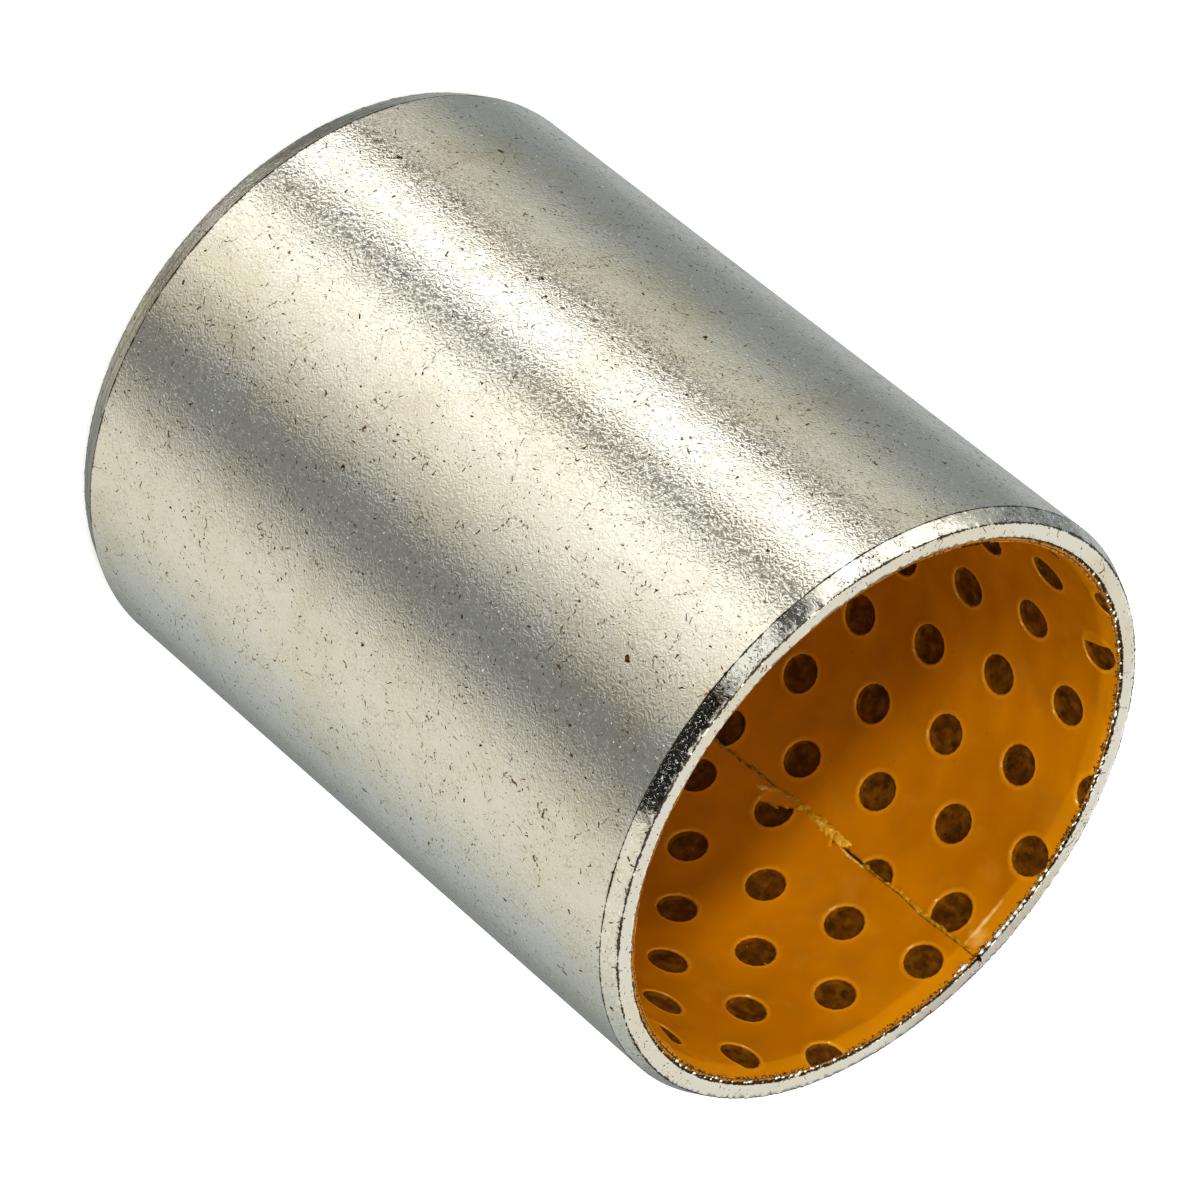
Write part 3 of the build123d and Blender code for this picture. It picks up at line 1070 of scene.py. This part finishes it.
acetal = {
    "amber": "#C47600",
    "deep": "#AE6600",
    "smudge": "#94651A",
    "pale": "#DDA038",
    # painted highlight on the pocket rims
    "rim": "#E09A14",
    "endBand": "#C47E04",
    "cutEnd": "#2C1804",
    "grease": "#5C3204",
    "greaseDark": "#341B03",
    "greaseAmber": "#7A4C0A",
    "dirt": "#4A2C04",
    "greaseGlint": "#D0A878",
    "paintedGlint": "#FFF0B4",
    "grit": "#20140A",
    "scuff": "#DAA850",
    "leadInHighlight": "#FFE8A0",
    # place, how much finer it is along Z, raggedness, where it is full and where it ends, in mm
    "scuffShape": ((-0.85, 17.50, 49.30), 1, 1.2, 0.75, 1.35),  # on the lead-in, beside the joint
    "leadInHighlightShape": ((-1.9, 17.40, 48.93), 12, 2.0, 1.2, 3.0),  # a painted highlight along the lead-in's edge
    # mm across: drifts of tone, smudges, mottles of the grease, breaks in the painted glints, the
    # raggedness of the scuff and of the painted highlight, whiskers, and the lumps of the surface,
    # with their height
    "slow": 7,
    "middling": 2.0,
    "mottle": 0.62,
    "broken": 0.3,
    "ragged": 0.4,
    "whisker": 0.22,
    "orangePeel": 0.5,
    "peelHeight": 0.007,
    # heights, and one radius, between which each band begins
    "bandFrom": (48.75, 48.95),
    "endFrom": (49.66, 49.72),
    "behindFrom": (17.70, 17.74),
    "whiskersFrom": (49.50, 49.85),
    "nearMouth": (30, 42),
    "ior": 1.48,
    "level": 0.25,
    "tint": "#FFB04C",
    "tornTint": "#FFD08A",
}


# Acetal copolymer pressed into the bronze and machined: it gives the eye a half-gloss amber
# with old brown grease lying mottled in its pockets and grit along its cut ends
def makeAmberAcetal():
    material, add = newMaterial("amber acetal")
    place = add("TexCoord").node.outputs["Object"]
    height = add("SeparateXYZ", [place]).node.outputs[2]
    pocket = add("Attribute", attribute_name="pocket").node.outputs["Fac"]
    inPocket = add("MapRange", [pocket, 0.25, 0.60], "SMOOTHSTEP")
    # The raised rims get a painted highlight, strongest on their painted lit side
    paintedRimHighlight = add("MapRange", [pocket, -0.60, -0.05, 0.62, 0.0], "SMOOTHSTEP")
    litSide = add("Attribute", attribute_name="litSide").node.outputs["Fac"]
    catching = add("MapRange", [litSide, -0.2, 0.9, 0.35, 1.0])
    paintedRimHighlight = add("Math", [paintedRimHighlight, catching], "MULTIPLY")

    # Slow drifts of tone, and the band and the dark rear edge at the cut end
    slow = add("TexNoise", [place, 1 / (acetal["slow"] * mm), 3.0])
    deep = add("MapRange", [slow, 0.35, 0.65])
    middling = add("TexNoise", [place, 1 / (acetal["middling"] * mm), 3.0])
    middling = middling.node.outputs
    smudge = add("MapRange", [middling["Fac"], 0.52, 0.70, 0.0, 0.22])
    pale = add("SeparateColor", [middling["Color"]]).node.outputs[1]
    pale = add("MapRange", [pale, 0.56, 0.72, 0.0, 0.10])
    band = add("MapRange", [height, *metres(acetal["bandFrom"]), 0.0, 0.55])
    cutEnd = add("MapRange", [height, *metres(acetal["endFrom"]), 0.0, 0.85])
    radius = fromAxis(add, place)
    behind = add("MapRange", [radius, *metres(acetal["behindFrom"])])
    cutEnd = add("Math", [cutEnd, behind], "MULTIPLY")

    # Grease, mottled dark and amber, dried along the pocket floors
    mottle = add("TexNoise", [place, 1 / (acetal["mottle"] * mm), 2.0]).node.outputs
    share = add("MapRange", [mottle["Fac"], 0.30, 0.70])
    grease = add("Mix", [share, acetal["greaseDark"], acetal["grease"]], "RGBA")
    share = add("SeparateColor", [mottle["Color"]]).node.outputs[1]
    share = add("MapRange", [share, 0.46, 0.74, 0.0, 0.75])
    grease = add("Mix", [share, grease, acetal["greaseAmber"]], "RGBA")

    # Specks of dirt on the bore, pale specks on the grease that are painted glints, and a painted
    # glint on the lit side of each rim
    outside = add("Math", [1.0, inPocket], "SUBTRACT")
    dirtAndGlintSpecks = []
    # The first kind is dirt; the second is painted glints on the grease
    for cell, least, largest, strength, where in ((1.1, 0.5, 0.10, 0.3, outside),
                                                  (0.62, 0.66, 0.11, 0.6, inPocket)):
        _, depth = spotDepth(add, place, cell, least, 0.0, largest)
        speck = add("MapRange", [depth, 0.0, 0.03, 0.0, strength])
        dirtAndGlintSpecks.append(add("Math", [speck, where], "MULTIPLY"))
    paintedGlint = add("MapRange", [litSide, 0.962, 0.995])
    crest = add("MapRange", [pocket, -0.42, -0.62])
    broken = add("TexNoise", [place, 1 / (acetal["broken"] * mm), 0.0])
    broken = add("MapRange", [broken, 0.42, 0.54])
    nearMouth = add("MapRange", [height, *metres(acetal["nearMouth"]), 0.15, 0.9])
    for mask in (crest, broken, nearMouth):
        paintedGlint = add("Math", [paintedGlint, mask], "MULTIPLY")

    # A pale scuff on the lead-in, and a painted highlight along its edge
    ragged = add("TexNoise", [place, 1 / (acetal["ragged"] * mm), 3.0])
    worn = []
    for middle, finer, edge, full, gone in (acetal["scuffShape"], acetal["leadInHighlightShape"]):
        reach = add("VectorMath", [place, metres(middle)], "SUBTRACT")
        if finer > 1:
            reach = add("VectorMath", [reach, (1, 1, finer)], "MULTIPLY")
        reach = add("VectorMath", [reach], "LENGTH")
        reach = add("Math", [ragged, edge * mm, reach], "MULTIPLY_ADD")
        worn.append(add("MapRange", [reach, full * mm, gone * mm, 0.55, 0.0]))

    # Grit and whiskers caught along the cut end
    whiskers = add("TexNoise", [place, 1 / (acetal["whisker"] * mm), 3.0, 0.7])
    towardsEnd = add("MapRange", [height, *metres(acetal["whiskersFrom"]), -0.14, 0.14])
    whiskers = add("Math", [whiskers, towardsEnd], "ADD")
    whiskers = add("MapRange", [whiskers, 0.62, 0.67, 0.0, 0.92])

    colour = acetal["amber"]
    for share, tint in ((deep, "deep"), (smudge, "smudge"), (pale, "pale"), (band, "endBand"),
                        (paintedRimHighlight, "rim"), (cutEnd, "cutEnd")):
        colour = add("Mix", [share, colour, acetal[tint]], "RGBA")
    colour = add("Mix", [inPocket, colour, grease], "RGBA")
    for share, tint in ((dirtAndGlintSpecks[0], "dirt"), (dirtAndGlintSpecks[1], "greaseGlint"), (paintedGlint, "paintedGlint"),
                        (worn[0], "scuff"), (worn[1], "leadInHighlight"), (whiskers, "grit")):
        colour = add("Mix", [share, colour, acetal[tint]], "RGBA")
    roughness = add("MapRange", [middling["Fac"], 0.3, 0.7, 0.30, 0.44])
    roughness = add("Mix", [inPocket, roughness, 0.72])
    orangePeel = add("TexNoise", [place, 1 / (acetal["orangePeel"] * mm), 2.0])
    lumpy = add("MapRange", [pocket, 0.25, 0.6, 1.0, 5.0])
    relief = add("Math", [orangePeel, lumpy], "MULTIPLY")
    bump = add("Bump", {"Strength": 1.0, "Distance": acetal["peelHeight"] * mm, "Height": relief})
    shader = add("BsdfPrincipled", {
        "Base Color": colour, "Roughness": roughness, "IOR": acetal["ior"],
        "Specular IOR Level": acetal["level"], "Specular Tint": acetal["tint"], "Normal": bump})
    add("OutputMaterial", [shader])
    return material


# The same acetal squeezed out along the joint: it gives the eye cream shreds where it is
# thin and torn, yellow where it is thick, and olive where dirt has stuck to it
tornTones = ((0.0, "#241B06"), (0.25, "#7A5A10"), (0.55, "#C08A14"), (0.8, "#DFA832"),
             (1.0, "#EFD79C"))


def makeTornAcetal():
    material, add = newMaterial("torn acetal")
    place = add("TexCoord").node.outputs["Object"]
    paleness = add("Attribute", attribute_name="paleness").node.outputs["Fac"]
    grain = add("TexNoise", [place, 1 / (0.3 * mm), 3.0])
    stir = add("MapRange", [grain, 0.25, 0.75, -0.24, 0.24])
    tone = add("Math", [paleness, stir], "ADD")
    ramp = add("ValToRGB", [tone])
    fillRamp(ramp.node.color_ramp, [(at, hexColour(shade)) for at, shade in tornTones])
    bump = add("Bump", {"Strength": 1.0, "Distance": 0.03 * mm, "Height": grain})
    shader = add("BsdfPrincipled", {
        "Base Color": ramp, "Roughness": 0.35, "IOR": acetal["ior"],
        "Specular IOR Level": acetal["level"], "Specular Tint": acetal["tornTint"], "Normal": bump})
    add("OutputMaterial", [shader])
    return material


def finishPiece(piece, material, node=None):
    piece.data.materials.clear()
    piece.data.materials.append(material)
    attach(piece, "root")
    if node:
        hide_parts(node)


placeCamera()
lightStudio()
layFloor()
tinnedSteel = makeTinnedSteel()
finishPiece(makeSteelShell(), tinnedSteel, "steel_backing")
finishPiece(makeBronzeLayer(), makeSinteredBronze(), "bronze_interlayer")
finishPiece(makeTinBeads(), tinnedSteel)
finishPiece(makePolymerLining(), makeAmberAcetal(), "polymer_lining")
finishPiece(makeJointBurr(), makeTornAcetal())
